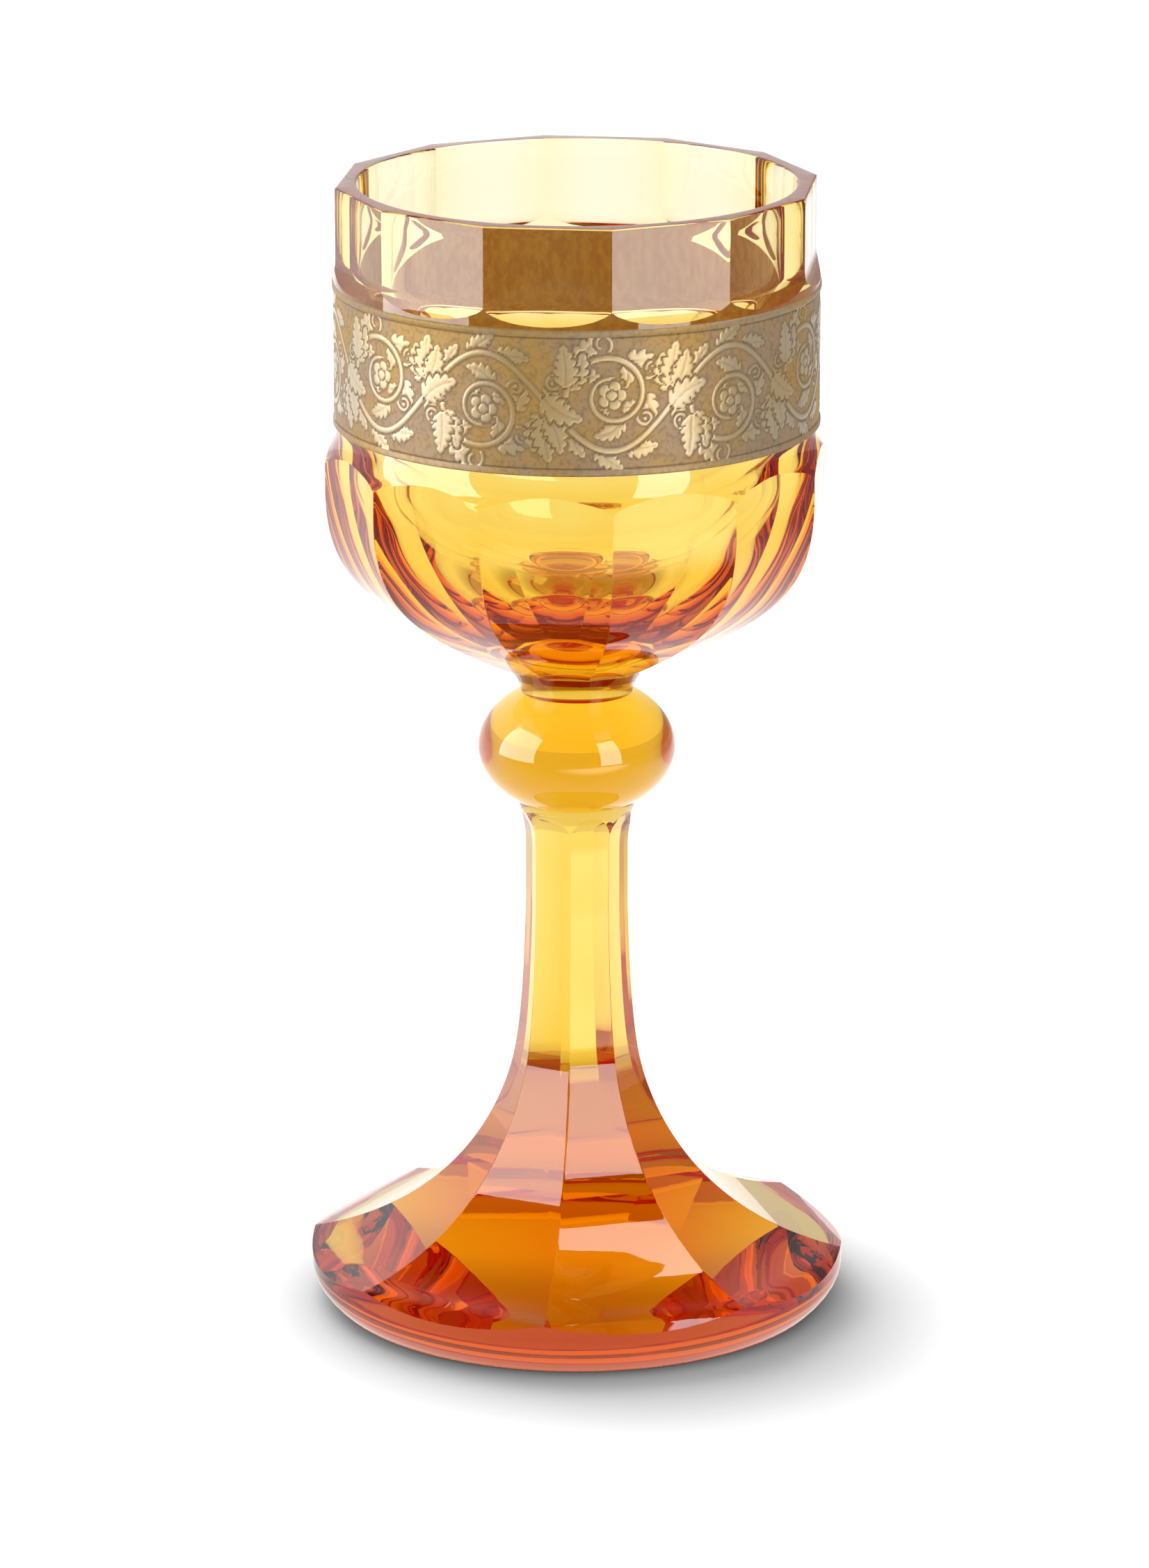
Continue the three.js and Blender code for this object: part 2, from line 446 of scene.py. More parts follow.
def mark_sharp(mesh, columns, sharp_rings):
    """Keeps the edges that run along these rings crisp."""
    ends = np.empty(len(mesh.edges) * 2, int)
    mesh.edges.foreach_get("vertices", ends)
    ring = ends.reshape(-1, 2) // columns
    sharp = (ring[:, 0] == ring[:, 1]) & np.isin(ring[:, 0], sharp_rings)
    mesh.attributes.new("sharp_edge", "BOOLEAN", "EDGE").data.foreach_set("value", sharp)


def glass_piece(name, stretches, joints):
    """A closed piece from stretches of rings, the first and last of which are filled.

    An edge between two stretches is crisp. The fill at either end, named low or high in joints,
    is where the piece is fused to its neighbour.
    """
    rings = np.concatenate(stretches)
    count, columns = rings.shape[:2]
    starts = np.cumsum([len(stretch) for stretch in stretches])[:-1]
    points = rings.reshape(-1, 3)
    low = len(points)
    high = low + 1
    points = np.vstack([points, rings[0].mean(axis=0), rings[-1].mean(axis=0)])
    faces = ring_faces(count, columns, False).tolist()
    top = (count - 1) * columns
    for column in range(columns):
        beside = (column + 1) % columns
        faces.append((low, beside, column))
        faces.append((top + column, top + beside, high))
    piece = new_piece(name, points, faces)
    mark_sharp(piece.data, columns, np.concatenate([[0], starts, [count - 1]]))
    fused = np.zeros(len(faces))
    fills = len(faces) - 2 * columns
    fused[fills::2] = "low" in joints
    fused[fills + 1::2] = "high" in joints
    store(piece, "fused", "FACE", fused)
    return piece


def foot_sweep(steps=32):
    """The curve of the foot's ridges, from the disc's edge up to the stem."""
    return curve((foot_radius, foot_ridge_height),
                 (foot_radius - foot_edge_pull[0], foot_ridge_height + foot_edge_pull[1]),
                 (stem_foot_radius + foot_neck_pull[0], stem_foot - foot_neck_pull[1]),
                 (stem_foot_radius, stem_foot), steps=steps)


def make_foot():
    """A disc with an undercut rim, and flat sides that sweep up from it to the stem."""
    sides = CutSides(foot_sides, foot_ridge_round, flat_steps=14)
    reach = foot_radius / flat_share(foot_sides)
    cut = outline(
        curve((reach + foot_spare, foot_scallop_foot),
              (foot_radius + foot_ease[0], foot_ridge_height - foot_ease[1]),
              (foot_radius, foot_ridge_height)),
        foot_sweep(),
    )
    base_radius = foot_radius - foot_undercut
    blank = outline(
        curve((base_radius, 0.0), (foot_radius, foot_rim_height / 2), (foot_radius, foot_rim_height)),
        (foot_radius, stem_foot),
    )
    edge = sides.crossing(cut, blank, foot_scallop_foot, foot_scallop_top)
    bearing = sides.place(radius_at(cut, edge))[1]
    base = round_edge(base_radius, foot_base_edge, foot_base_edge, -90, -30)
    side = rows(
        sides.columns,
        between(base[-1, 1], foot_scallop_foot, 8),
        between(foot_scallop_foot, edge, 6),
    )
    sweep_rows = foot_sweep(steps=48)[:, 1]
    sweep_rows = sweep_rows[sweep_rows > foot_level + foot_row_gap]
    sweep_rows[-1] -= joint_gap / 2
    flats = rows(sides.columns, between(edge, foot_level, 6), [[foot_level]], sweep_rows[:, None])
    return glass_piece("foot_glass", [
        turned_rings(bearing, base[:-1]),
        round_rings(bearing, blank, side),
        flat_rings(sides, cut, flats),
    ], ("high",))


def make_stem():
    """A shaft with the foot's flat sides, which run out in arches where it spreads round under the knop."""
    sides = CutSides(foot_sides, stem_ridge_round, flat_steps=10)
    spread_foot = knop_foot - stem_spread
    spread_middle = knop_foot - stem_spread / 2
    cut_end = spread_foot - stem_run_out
    cut_top_radius = stem_top_radius / flat_share(foot_sides)
    cut = outline(
        curve((stem_foot_radius, stem_foot),
              (stem_foot_radius - stem_foot_pull[0], stem_foot + stem_foot_pull[1]),
              (stem_radius + stem_sweep_pull[0], stem_sweep_top - stem_sweep_pull[1]),
              (stem_radius, stem_sweep_top)),
        curve((stem_radius, cut_end), (stem_radius, spread_middle), (cut_top_radius, stem_cut_top)),
        (cut_top_radius + stem_cut_spare, knop_foot),
    )
    blank_radius = stem_radius + stem_blank_margin
    blank = outline(
        (stem_foot_radius + stem_blank_spare, stem_foot),
        curve((blank_radius, spread_foot), (blank_radius, spread_middle), (stem_top_radius, knop_foot)),
    )
    edge = sides.crossing(cut, blank, cut_end, stem_highest_edge)
    bearing = sides.place(radius_at(cut, edge))[1]
    start = stem_foot + joint_gap / 2
    end = knop_foot - joint_gap / 2
    return glass_piece("stem_glass", [
        flat_rings(sides, cut, rows(
            sides.columns,
            between(start, stem_sweep_top, 24),
            between(stem_sweep_top, cut_end, 6),
            between(cut_end, edge, 10),
        )),
        round_rings(bearing, blank, rows(sides.columns, between(edge, end, 8), [[end]])),
    ], ("low", "high"))


def make_knop():
    """A flattened ball, cut off where it meets the stem and the merese."""
    lower = math.sqrt(1 - (stem_top_radius / knop_radius) ** 2)
    upper = math.sqrt(1 - (merese_lower_radius / knop_radius) ** 2)
    half_height = (merese_foot - knop_foot) / (lower + upper)
    middle = knop_foot + half_height * lower
    angle = np.linspace(-math.asin(lower), math.asin(upper), knop_rows)
    line = np.stack([knop_radius * np.cos(angle), middle + half_height * np.sin(angle)], axis=1)
    line[0, 1] += joint_gap / 2
    line[-1, 1] -= joint_gap / 2
    return glass_piece("knop_glass", [turned_rings(even_bearings(round_columns), line)], ("low", "high"))


def make_merese():
    """A hollow-sided collar that widens from the knop to the bowl."""
    middle_radius = (merese_lower_radius + merese_upper_radius) / 2 - merese_hollow
    line = curve((merese_lower_radius, merese_foot + joint_gap / 2),
                 (middle_radius, (merese_foot + bowl_foot) / 2),
                 (merese_upper_radius, bowl_foot - joint_gap / 2), steps=14)
    return glass_piece("merese_glass", [turned_rings(even_bearings(round_columns), line)], ("low", "high"))


def lower_bowl(depth, end, top, top_pull):
    """The curve of the bowl from its foot, cut in by a depth, out to a radius and height."""
    start = bowl_foot_radius - depth
    return curve((start, bowl_foot),
                 (start + lower_bowl_pull[0], bowl_foot + lower_bowl_pull[1]),
                 (end + top_pull[0], top - top_pull[1]),
                 (end, top), steps=64)


def flute_curve():
    """The curve of the flutes' ridges, up to where they stand upright."""
    return lower_bowl(flute_depth, flute_top_radius, flute_shoulder, flute_pull)


def flute_outline():
    """The flutes' ridges, and a spare stretch over them that lies outside the bowl."""
    return outline(
        flute_curve(),
        (flute_top_radius, flute_highest_edge),
        (flute_top_radius + flute_spare[0], flute_highest_edge + flute_spare[1]),
    )


def panel_outline(share):
    """A spare stretch that lies outside the bowl, and the panels' ridges over it."""
    return outline(
        (cup_radius / share + panel_spare, band_top - panel_spare),
        curve((cup_radius / share, panel_foot),
              (panel_ridge_radius, band_top + panel_run_out / 2),
              (panel_ridge_radius, panel_top)),
        (panel_ridge_radius, rim),
    )


def bowl_blank():
    """The round outside of the bowl before it is cut."""
    return outline(
        lower_bowl(0.0, bowl_radius, shoulder, upper_bowl_pull),
        curve((bowl_radius, shoulder), (bowl_radius, (shoulder + turn_top) / 2), (turn_radius, turn_top)),
        curve((turn_radius, turn_top),
              (waist_radius, (turn_top + band_foot) / 2),
              (waist_radius, band_foot)),
        (waist_radius, waist_top),
        (cup_radius, cup_foot),
        (cup_radius, rim),
    )


def bowl_inside(inner_rim):
    """The inside of the bowl, from the rounded edge of the rim down to the floor."""
    return outline(
        round_edge(inner_rim + rim_edge, rim - rim_edge, rim_edge, 90, 180),
        curve((inner_rim, rim - rim_edge), (inner_rim, band_foot + hollow_ease), steps=12)[1:-1],
        curve((inner_rim, band_foot + hollow_ease), (inner_rim, band_foot),
              (hollow_radius, shoulder + hollow_ease), (hollow_radius, shoulder), steps=12),
        curve((hollow_radius, shoulder), (hollow_radius, bowl_floor + hollow_rise),
              (floor_pull, bowl_floor), (0.0, bowl_floor), steps=56)[1:-1],
    )


def rim_rings(sides, share):
    """Rings over the rounded outer edge of the rim."""
    angle = np.radians(np.linspace(0, 90, 5))[1:]
    ridges = panel_ridge_radius - rim_edge * (1 - np.cos(angle)) / share
    heights = rim - rim_edge + rim_edge * np.sin(angle)
    radius, bearing = sides.place(ridges[:, None])
    return ring_points(radius, bearing, heights[:, None])


def make_bowl():
    """A fluted bowl with a plain turn and waist, a panelled cup above them, and a hollow inside."""
    sides = CutSides(bowl_sides, bowl_ridge_round, flat_steps=14)
    share = flat_share(bowl_sides)
    blank = bowl_blank()
    flutes = flute_outline()
    panels = panel_outline(share)
    flute_edge = sides.crossing(flutes, blank, flute_lowest_edge, flute_highest_edge)
    panel_edge = sides.crossing(panels, blank, band_top - panel_margin, panel_top + panel_margin)
    flute_bearing = sides.place(radius_at(flutes, flute_edge))[1]
    panel_bearing = sides.place(radius_at(panels, panel_edge))[1]
    rim_bearing = sides.place(panel_ridge_radius)[1]
    start = bowl_foot + joint_gap / 2
    flute_rows = flute_curve()[:, 1]
    flute_rows = flute_rows[(flute_rows > start + flute_row_gap) & (flute_rows < last_flute_row)]
    flute_rows = np.concatenate([[start], flute_rows])
    flats_end = rim - rim_edge
    return glass_piece("bowl_glass", [
        turned_rings(flute_bearing, np.array([(merese_upper_radius, start)])),
        flat_rings(sides, flutes, rows(
            sides.columns,
            flute_rows[:, None],
            between(flute_rows[-1] + arch_row_gap, flute_edge, 10),
        )),
        round_rings(flute_bearing, blank, rows(
            sides.columns,
            between(flute_edge, turn_level, 10),
            between(turn_level, band_foot, 8),
            between(band_foot, waist_top, 10),
            between(waist_top, cup_foot, 2),
        )),
        round_rings(panel_bearing, blank, between(cup_foot, panel_edge, 6)),
        flat_rings(sides, panels, rows(
            sides.columns,
            between(panel_edge, panel_level, 10),
            between(panel_level, flats_end, 6),
            [[flats_end]],
        )),
        rim_rings(sides, share),
        turned_rings(rim_bearing, bowl_inside(panel_ridge_radius * share - rim_wall)),
    ], ("low",))


def bent_line(base, headings, length):
    """Points along a line of a length that starts at a base and takes these headings in turn."""
    steps = np.stack([np.cos(headings), np.sin(headings)], axis=1) * length / len(headings)
    return np.array(base) + np.cumsum(steps, axis=0)


class Relief:
    """A raised ornament on one repeat of the band, with flat tops and a narrow gap round each shape.

    x runs along the band and y up it, both in millimetres from the middle of the repeat.
    """

    def __init__(self, length, height):
        self.length = length
        along = (np.arange(relief_columns) / relief_columns - 0.5) * length
        up = np.linspace(-height / 2, height / 2, relief_lines)
        self.x, self.y = np.meshgrid(along, up)
        self.rise = np.zeros(self.x.shape)

    def away(self, point):
        """How far every grid point is from a point, along the band and up it. The band closes on itself."""
        along = (self.x - point[0] + self.length / 2) % self.length - self.length / 2
        return along, self.y - point[1]

    def lay(self, depth):
        """Lays a shape over what is there. Depth is how far a grid point is inside the shape."""
        self.rise = np.where(depth > -relief_gap, np.clip(depth / relief_gap, 0.0, 1.0), self.rise)

    def near(self, line):
        """For every grid point, the share of a line at which it comes nearest, and the distance there."""
        gap = np.full(self.x.shape, self.length)
        share = np.zeros(self.x.shape)
        for number, point in enumerate(line):
            distance = np.hypot(*self.away(point))
            share = np.where(distance < gap, number / (len(line) - 1), share)
            gap = np.minimum(gap, distance)
        return share, gap

    def stem(self, line, width, end_width):
        """A tapering stem along a line, with a half width at either end."""
        share, gap = self.near(line)
        self.lay(width + (end_width - width) * share - gap)

    def leaf(self, base, heading, length, bend, lobes=5):
        """An acanthus leaf: lobes sweep forward from a bending rib, with notches between them."""
        share = np.linspace(0.0, 1.0, 40)
        place, gap = self.near(bent_line(base, heading + bend * share, length))
        swell = np.sin(math.pi * place ** leaf_belly) ** leaf_blunt
        lobe_place = np.clip(place + lobe_start - leaf_sweep * gap / length, 0.0, 1.0)
        lobe = np.abs(np.sin(math.pi * lobes * lobe_place))
        depth = leaf_spread * length * swell * (1 - lobe_depth + lobe_depth * lobe ** lobe_round) - gap
        self.lay(np.where(place < 1.0, depth, -self.length))
        on_vein = (place > vein_reach[0]) & (place < vein_reach[1]) & (depth > 0)
        self.rise *= 1 - vein_depth * np.clip(1 - gap / vein_width, 0.0, 1.0) * on_vein

    def tendril(self, base, heading, length, bend):
        """A thin stem that winds up towards its end."""
        share = np.linspace(0.0, 1.0, 60)
        self.stem(bent_line(base, heading + bend * share ** tendril_closing, length), *tendril_width)

    def flower(self, centre):
        """A round flower with a boss, and lines between its petals."""
        along, up = self.away(centre)
        reach = np.hypot(along, up) / flower_size
        petal = np.abs(np.cos(np.arctan2(up, along) * flower_petals / 2))
        edge = 1 - petal_notch + petal_notch * petal ** petal_round
        self.lay((edge - reach) * flower_size)
        round_boss = np.abs(reach - boss_size) < boss_line / flower_size
        beside_petal = (petal < petal_line) & (reach < edge) & (reach > petal_foot)
        self.rise *= 1 - flower_line_depth * (round_boss | beside_petal)

    def volute(self, centre, side):
        """A scroll that winds in to a flower, with leaves and tendrils on it. Side -1 turns it over."""
        turn = np.linspace(0.0, 1.0, volute_points)
        angle = volute_start - turn * volute_winding
        reach = volute_reach * np.exp(-volute_closing * turn)
        across = centre[0] + reach * np.cos(angle)
        line = np.stack([across, centre[1] + side * reach * np.sin(angle)], axis=1)
        ahead = np.diff(line, axis=0)
        heading = np.arctan2(ahead[:, 1], ahead[:, 0])
        leave, bend = outer_leaf_turn
        for spot, length in outer_leaves:
            self.leaf(line[spot], heading[spot] + side * leave, length, side * bend)
        leave, bend = inner_leaf_turn
        for spot, length in inner_leaves:
            self.leaf(line[spot], heading[spot] + side * leave, length, side * bend, lobes=3)
        leave, bend = tendril_turn
        for spot, length in tendrils:
            self.tendril(line[spot], heading[spot] + side * leave, length, side * bend)
        self.stem(line, *volute_width)
        self.flower(centre)


def band_relief(length, height):
    """A running scroll: a waving stem with a volute in each bend, and leaves in the spaces between."""
    relief = Relief(length, height)
    bends = ((1, 0.0), (-1, 0.5 * length))
    for side, middle in bends:
        relief.volute((middle, side * volute_lift), side)
    for side, middle in bends:
        for angle in wave_leaves:
            slope = stem_wave * 2 * math.pi / length * math.sin(angle)
            start = (middle + angle / (2 * math.pi) * length, -side * stem_wave * math.cos(angle))
            heading = side * (math.atan(slope) + wave_leaf_turn[0])
            relief.leaf(start, heading, wave_leaf_length, side * wave_leaf_turn[1])
    turn = np.linspace(-math.pi, math.pi, 161)
    wave = np.stack([turn / (2 * math.pi) * length, -stem_wave * np.cos(turn)], axis=1)
    relief.stem(wave, stem_width, stem_width)
    for side, middle in bends:
        crossing = middle + 0.25 * length
        for along, up, heading, size, bend in crossing_leaves:
            relief.leaf((crossing + along, side * up), side * heading, size, side * bend)
    return relief.rise


def make_band():
    """A ring embedded in the glass, with a lip along each edge and an ornament in relief between them."""
    columns = band_repeats * relief_columns
    bearing = even_bearings(columns)
    field_foot = band_foot + band_lip_height
    field_top = band_top - band_lip_height
    field = band_outer_radius - band_lip - relief_rise
    length = 2 * math.pi * band_outer_radius / band_repeats
    rise = np.tile(band_relief(length, field_top - field_foot), (1, band_repeats))
    heights = np.linspace(field_foot, field_top, relief_lines)
    lip = band_outer_radius
    upper = outline((lip - lip_ease, field_top + lip_ease), (lip, field_top + lip_step),
                    (lip, band_top - lip_chamfer), (lip - lip_chamfer, band_top))
    inner = curve((band_inner_radius, band_top), (band_inner_radius, band_foot), steps=2)
    lower = outline((lip - lip_chamfer, band_foot), (lip, band_foot + lip_chamfer),
                    (lip, field_foot - lip_step), (lip - lip_ease, field_foot - lip_ease))
    rings = np.concatenate([
        ring_points(field + relief_rise * rise, bearing[None, :], heights[:, None]),
        turned_rings(bearing, upper),
        turned_rings(bearing, inner),
        turned_rings(bearing, lower),
    ])
    count = len(rings)
    piece = new_piece("band_gilding", rings.reshape(-1, 3), ring_faces(count, columns, True).tolist())
    piece.data.set_sharp_from_angle(angle=crisp_angle)
    # Painted shade: the ground beside each raised shape, and the rows along the lips, are marked in hollow
    # to be darkened.
    beside = sum(np.roll(rise, step, axis) for step in (-1, 1) for axis in (0, 1)) / 4
    field_edge = np.zeros_like(rise)
    field_edge[[0, -1]] = 1.0
    painted_gap_shade = np.clip(np.maximum(beside * 2, field_edge), 0, 1) * (1 - rise)
    plain = np.ones((count - relief_lines, columns))
    inside = np.zeros((count, columns))
    inner_start = relief_lines + len(upper)
    inside[inner_start:inner_start + len(inner)] = 1.0
    store(piece, "raised", "POINT", np.concatenate([rise, lip_polish * plain]))
    store(piece, "hollow", "POINT", np.concatenate([painted_gap_shade, 0 * plain]))
    store(piece, "inside", "POINT", inside)
    return piece


def new_material(name):
    """A material and its node tree, which is empty."""
    material = bpy.data.materials.new(name)
    material.use_nodes = True
    material.node_tree.nodes.clear()
    return material, material.node_tree


def add_node(tree, kind, **values):
    """A node of a kind, with inputs and properties set by name."""
    node = tree.nodes.new(kind)
    for name, value in values.items():
        socket = node.inputs.get(name.replace("_", " "))
        if socket is not None:
            socket.default_value = value
        else:
            setattr(node, name, value)
    return node


def put(tree, socket, value):
    """Gives a socket a number, or the result of another node."""
    if isinstance(value, float):
        socket.default_value = value
    else:
        tree.links.new(value, socket)


def math_node(tree, operation, first, second):
    """The result of a calculation with two values."""
    node = add_node(tree, "ShaderNodeMath", operation=operation)
    put(tree, node.inputs[0], first)
    put(tree, node.inputs[1], second)
    return node.outputs["Value"]


def vector_node(tree, operation, place, vector=(0.0, 0.0, 0.0)):
    """The outputs of a calculation with a place and a fixed vector."""
    node = add_node(tree, "ShaderNodeVectorMath", operation=operation)
    node.inputs[1].default_value = vector
    tree.links.new(place, node.inputs[0])
    return node.outputs


def ramp(tree, value, low, high, at_low, at_high):
    """A smooth change from one number to another while a value goes from low to high."""
    node = add_node(tree, "ShaderNodeMapRange", interpolation_type="SMOOTHSTEP")
    for name, number in (("From Min", low), ("From Max", high), ("To Min", at_low), ("To Max", at_high)):
        node.inputs[name].default_value = number
    tree.links.new(value, node.inputs["Value"])
    return node.outputs["Result"]


def choose(tree, factor, first, second):
    """The first value where the factor is 0, and the second where it is 1."""
    node = add_node(tree, "ShaderNodeMix", data_type="FLOAT")
    tree.links.new(factor, node.inputs["Factor"])
    put(tree, node.inputs["A"], first)
    put(tree, node.inputs["B"], second)
    return node.outputs["Result"]


def blend_colour(tree, factor, first, second):
    """The first colour where the factor is 0, and the second where it is 1. Either may be a socket."""
    node = add_node(tree, "ShaderNodeMix", data_type="RGBA")
    tree.links.new(factor, node.inputs["Factor"])
    for number, value in ((6, first), (7, second)):
        if isinstance(value, tuple):
            node.inputs[number].default_value = (*value, 1.0)
        else:
            tree.links.new(value, node.inputs[number])
    return node.outputs[2]


def attribute(tree, name):
    """A value stored on the mesh."""
    return add_node(tree, "ShaderNodeAttribute", attribute_name=name).outputs["Fac"]


def noise(tree, scale, detail=3.0, roughness=0.55):
    """Noise over the surface, with this many features to a metre."""
    node = add_node(tree, "ShaderNodeTexNoise", Scale=scale, Detail=detail, Roughness=roughness)
    tree.links.new(add_node(tree, "ShaderNodeTexCoord").outputs["Object"], node.inputs["Vector"])
    return node.outputs["Fac"]


def add_bump(tree, surface, height, strength, distance):
    """Lets a height shade a surface."""
    bump = add_node(tree, "ShaderNodeBump", Strength=strength, Distance=distance)
    tree.links.new(height, bump.inputs["Height"])
    tree.links.new(bump.outputs["Normal"], surface.inputs["Normal"])


def glass_material():
    """Clear glass that colours light over depth. It doesn't bend light where two pieces are fused."""
    material, tree = new_material("amber_glass")
    output = add_node(tree, "ShaderNodeOutputMaterial")
    surface = add_node(tree, "ShaderNodeBsdfPrincipled", Base_Color=(1, 1, 1, 1), Roughness=0.0,
                       IOR=glass_index, Transmission_Weight=1.0)
    index = add_node(tree, "ShaderNodeMapRange", To_Min=glass_index, To_Max=1.0)
    tree.links.new(attribute(tree, "fused"), index.inputs["Value"])
    tree.links.new(index.outputs["Result"], surface.inputs["IOR"])
    add_bump(tree, surface, noise(tree, polish_waves), *polish_bump)
    body = add_node(tree, "ShaderNodeVolumeAbsorption", Color=glass_colour, Density=glass_density)
    tree.links.new(surface.outputs["BSDF"], output.inputs["Surface"])
    tree.links.new(body.outputs["Volume"], output.inputs["Volume"])
    return material


def gilt_colour(tree, raised, fine, inside):
    """Patches of bright and tarnished gold, with pits in the ground, and painted shade in the gaps beside
    the ornament and along the lips.
    """
    wear = ramp(tree, noise(tree, gilt_patches, detail=4.0), 0.36, 0.64, 0.0, 1.0)
    ground = blend_colour(tree, wear, gold_ground, tarnished_ground)
    ground = blend_colour(tree, ramp(tree, fine, 0.45, 0.68, 0.0, 0.45), ground, ground_pits)
    figure = blend_colour(tree, wear, gold_figure, tarnished_figure)
    colour = blend_colour(tree, raised, ground, figure)
    # Painted shade: the gaps marked in hollow are darkened towards gap_shade.
    shade = math_node(tree, "MULTIPLY", attribute(tree, "hollow"), gap_shading)
    colour = blend_colour(tree, shade, colour, gap_shade)
    # Inside, bare gold with painted light: its colour is brightened for lamp light that the glass keeps from
    # it.
    inside_wear = ramp(tree, noise(tree, inside_patches, detail=5.0), 0.35, 0.65, 0.0, 1.0)
    return blend_colour(tree, inside, colour, blend_colour(tree, inside_wear, inside_gold_with_painted_light, inside_pale_gold_with_painted_light))


def gilt_material():
    """Worn gilding under a thin lacquer, glossier on the ornament, and bare gold inside, painted brighter to
    stand in for lamp light that the glass keeps from it.
    """
    material, tree = new_material("gilding")
    output = add_node(tree, "ShaderNodeOutputMaterial")
    surface = add_node(tree, "ShaderNodeBsdfPrincipled", Specular_IOR_Level=0.15, Coat_Roughness=0.3)
    raised = ramp(tree, attribute(tree, "raised"), 0.2, 0.8, 0.0, 1.0)
    inside = attribute(tree, "inside")
    fine = noise(tree, gilt_pits, detail=2.0)
    bare = choose(tree, inside, ramp(tree, raised, 0.0, 1.0, *gilt_metallic), 1.0)
    lacquer = ramp(tree, raised, 0.0, 1.0, *gilt_lacquer)
    matt = math_node(tree, "ADD", ramp(tree, raised, 0.0, 1.0, *gilt_roughness),
                     math_node(tree, "MULTIPLY", fine, pit_roughness))
    tree.links.new(gilt_colour(tree, raised, fine, inside), surface.inputs["Base Color"])
    tree.links.new(bare, surface.inputs["Metallic"])
    tree.links.new(lacquer, surface.inputs["Coat Weight"])
    tree.links.new(matt, surface.inputs["Roughness"])
    add_bump(tree, surface, fine, *gilt_bump)
    tree.links.new(surface.outputs["BSDF"], output.inputs["Surface"])
    return material


def mirrored_paper(tree, place, right, back):
    """How bright the paper looks in a reflection, as painted light and shade: dim in front and far right,
    with a painted pool of light where the right box stands.
    """
    paper = math_node(tree, "MULTIPLY", ramp(tree, back, -0.25, 0.15, 0.3, 1.5),
                      ramp(tree, right, 0.15, 0.5, 1.0, 0.35))
    # Painted pool of light on the paper where the right box stands.
    squeezed = vector_node(tree, "MULTIPLY", place, painted_light_pool_squeeze)["Vector"]
    from_light_pool = vector_node(tree, "DISTANCE", squeezed, painted_light_pool_middle)["Value"]
    return math_node(tree, "MAXIMUM", paper, ramp(tree, from_light_pool, 0.09, 0.24, 4.2, 0.3))


def paper_through_glass(tree, reach, back):
    """How bright the paper is through glass: a painted shadow near the foot, and painted shade in front."""
    return math_node(tree, "MULTIPLY", ramp(tree, reach, 0.04, 0.08, 0.62, 1.12),
                     ramp(tree, back, -0.25, 0.08, 0.5, 1.0))


def floor_material():
    """White paper that keeps the goblet's shadow, deepened by a painted shadow. Glass and gilding see it
    glow, with painted light and shade, and warmer where it is dim as painted warm light.
    """
    material, tree = new_material("floor")
    links = tree.links
    output = add_node(tree, "ShaderNodeOutputMaterial")
    path = add_node(tree, "ShaderNodeLightPath").outputs
    glossy = path["Is Glossy Ray"]
    through = path["Is Transmission Ray"]
    place = add_node(tree, "ShaderNodeTexCoord").outputs["Object"]
    parts = add_node(tree, "ShaderNodeSeparateXYZ")
    links.new(place, parts.inputs[0])
    right = parts.outputs["X"]
    back = parts.outputs["Y"]
    reach = vector_node(tree, "LENGTH", place)["Value"]
    from_shadow = vector_node(tree, "DISTANCE", place, painted_shadow_middle)["Value"]
    # Painted shadow: the paper's glow to the camera is held back round a middle to the front and right of
    # the foot.
    past_painted_shadow = ramp(tree, from_shadow, 0.036, 0.068, 0.0, 0.45)
    to_camera = math_node(tree, "MULTIPLY", path["Is Camera Ray"], past_painted_shadow)
    mirrored = mirrored_paper(tree, place, right, back)
    seen = choose(tree, through, mirrored, paper_through_glass(tree, reach, back))
    # Painted warm light: warmer in reflections in front, and through glass near the foot.
    painted_warmth_in_front = ramp(tree, back, -0.25, 0.05, 1.0, 0.0)
    painted_warmth = choose(tree, through, painted_warmth_in_front, ramp(tree, reach, 0.035, 0.08, 1.0, 0.0))
    painted_warmth = math_node(tree, "MULTIPLY", glossy, painted_warmth)
    glow = add_node(tree, "ShaderNodeEmission")
    links.new(blend_colour(tree, painted_warmth, white, painted_warm_light), glow.inputs["Color"])
    links.new(choose(tree, glossy, to_camera, seen), glow.inputs["Strength"])
    paper = add_node(tree, "ShaderNodeBsdfDiffuse", Color=paper_colour)
    lit = add_node(tree, "ShaderNodeAddShader")
    links.new(paper.outputs[0], lit.inputs[0])
    links.new(glow.outputs[0], lit.inputs[1])
    either = add_node(tree, "ShaderNodeMixShader")
    links.new(glossy, either.inputs[0])
    links.new(lit.outputs[0], either.inputs[1])
    links.new(glow.outputs[0], either.inputs[2])
    links.new(either.outputs[0], output.inputs["Surface"])
    return material


def make_floor():
    """A wide disc of paper, just under the foot."""
    steps = 64
    angles = np.arange(steps) * 2 * math.pi / steps
    points = [(floor_radius * math.cos(angle), floor_radius * math.sin(angle), 0.0) for angle in angles]
    mesh = bpy.data.meshes.new("floor")
    mesh.from_pydata(points, [], [tuple(range(steps))])
    floor = bpy.data.objects.new("floor", mesh)
    floor.location.z = -floor_gap
    bpy.context.collection.objects.link(floor)
    floor.data.materials.append(floor_material())


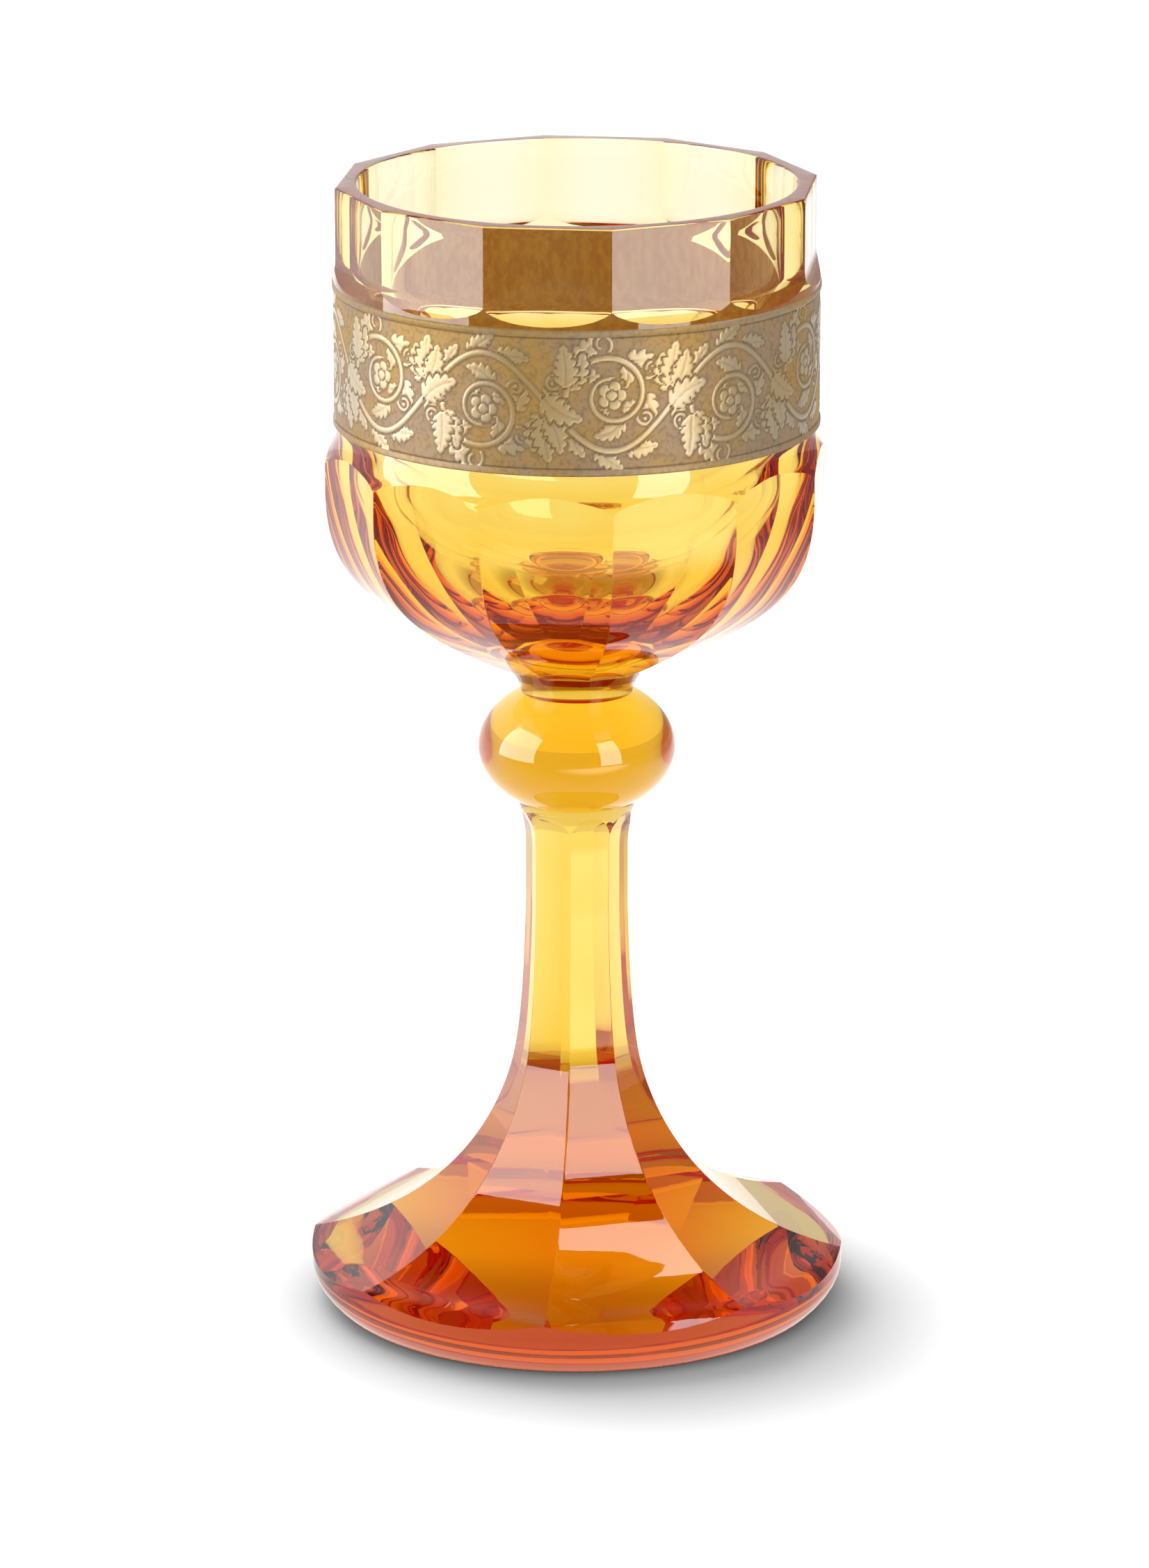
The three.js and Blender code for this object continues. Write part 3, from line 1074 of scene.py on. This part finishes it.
def make_world():
    """White to the camera. Glass and gilding see a white backdrop, a dim ceiling and a dim room in front."""
    world = bpy.data.worlds.new("studio")
    bpy.context.scene.world = world
    world.use_nodes = True
    tree = world.node_tree
    tree.nodes.clear()
    output = add_node(tree, "ShaderNodeOutputWorld")
    path = add_node(tree, "ShaderNodeLightPath").outputs
    parts = add_node(tree, "ShaderNodeSeparateXYZ")
    tree.links.new(add_node(tree, "ShaderNodeTexCoord").outputs["Generated"], parts.inputs[0])
    right = parts.outputs["X"]
    back = parts.outputs["Y"]
    up = parts.outputs["Z"]
    backdrop = math_node(tree, "MULTIPLY", ramp(tree, right, -0.2, 0.6, 1.2, 0.24),
                         ramp(tree, back, -0.4, 0.2, 0.12, 1.0))
    mirrored = math_node(tree, "MULTIPLY", backdrop, ramp(tree, up, 0.54, 0.82, 1.0, 0.03))
    through_glass = math_node(tree, "MULTIPLY", ramp(tree, back, -0.2, 0.95, 0.4, 0.8),
                              ramp(tree, up, 0.4, 0.7, 1.15, 0.8))
    seen = choose(tree, path["Is Transmission Ray"], mirrored, through_glass)
    plain = choose(tree, path["Is Camera Ray"], 0.8, 1.0)
    sky = add_node(tree, "ShaderNodeBackground", Color=(*white, 1.0))
    tree.links.new(choose(tree, path["Is Glossy Ray"], plain, seen), sky.inputs["Strength"])
    tree.links.new(sky.outputs[0], output.inputs["Surface"])


def softbox(name, bearing, distance, height, size, brightness, tilt=0.0):
    """A soft lamp at a bearing in degrees from the front towards +X, which faces the axis and tilts down."""
    turn = math.radians(bearing)
    data = bpy.data.lights.new(name, "AREA")
    data.shape = "RECTANGLE"
    data.size, data.size_y = size
    data.energy = brightness * math.pi * size[0] * size[1]
    lamp = bpy.data.objects.new(name, data)
    lamp.location = (distance * math.sin(turn), -distance * math.cos(turn), height)
    lamp.rotation_euler = (math.radians(90 - tilt), 0.0, turn)
    lamp.visible_camera = False
    lamp.visible_transmission = False
    bpy.context.collection.objects.link(lamp)
    return lamp


def make_lamps():
    """Two boxes and a ceiling panel that only reflections show, and a key that lights the paper."""
    boxes = (
        softbox("left_box", -75, 0.45, 0.30, (0.42, 0.50), 6.5),
        softbox("right_box", 40, 0.45, 0.273, (0.20, 0.45), 6.2),
        softbox("top_box", 105, 0.36, 0.85, (0.5, 0.5), 5.5, tilt=90),
    )
    for box in boxes:
        box.visible_diffuse = False
    key = softbox("key_box", -150, 0.75, 1.0, (0.9, 0.9), 3.0, tilt=53)
    key.visible_glossy = False


def make_camera():
    """A camera where the photo was taken from."""
    data = bpy.data.cameras.new("camera")
    data.sensor_fit = "VERTICAL"
    data.sensor_height = camera_frame
    data.lens = camera_lens
    camera = bpy.data.objects.new("camera", data)
    camera.location = camera_place
    camera.rotation_euler = (camera_tilt, 0.0, 0.0)
    bpy.context.collection.objects.link(camera)
    bpy.context.scene.camera = camera


def finish_piece(piece, node, material):
    """Gives a piece its material, and puts it in the place of its CAD node."""
    piece.data.materials.append(material)
    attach(piece, "root")
    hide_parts(node)


glass = glass_material()
gilt = gilt_material()
glass_makers = {
    "foot": make_foot,
    "stem": make_stem,
    "knop": make_knop,
    "merese": make_merese,
    "bowl": make_bowl,
}
for node, make in glass_makers.items():
    finish_piece(make(), node, glass)
finish_piece(make_band(), "gilt_band", gilt)
make_floor()
make_world()
make_lamps()
make_camera()

scene = bpy.context.scene
scene.view_settings.view_transform = "Standard"
scene.cycles.max_bounces = 32
scene.cycles.transmission_bounces = 32
scene.cycles.glossy_bounces = 12
scene.cycles.transparent_max_bounces = 32
scene.cycles.caustics_refractive = False
scene.cycles.caustics_reflective = False
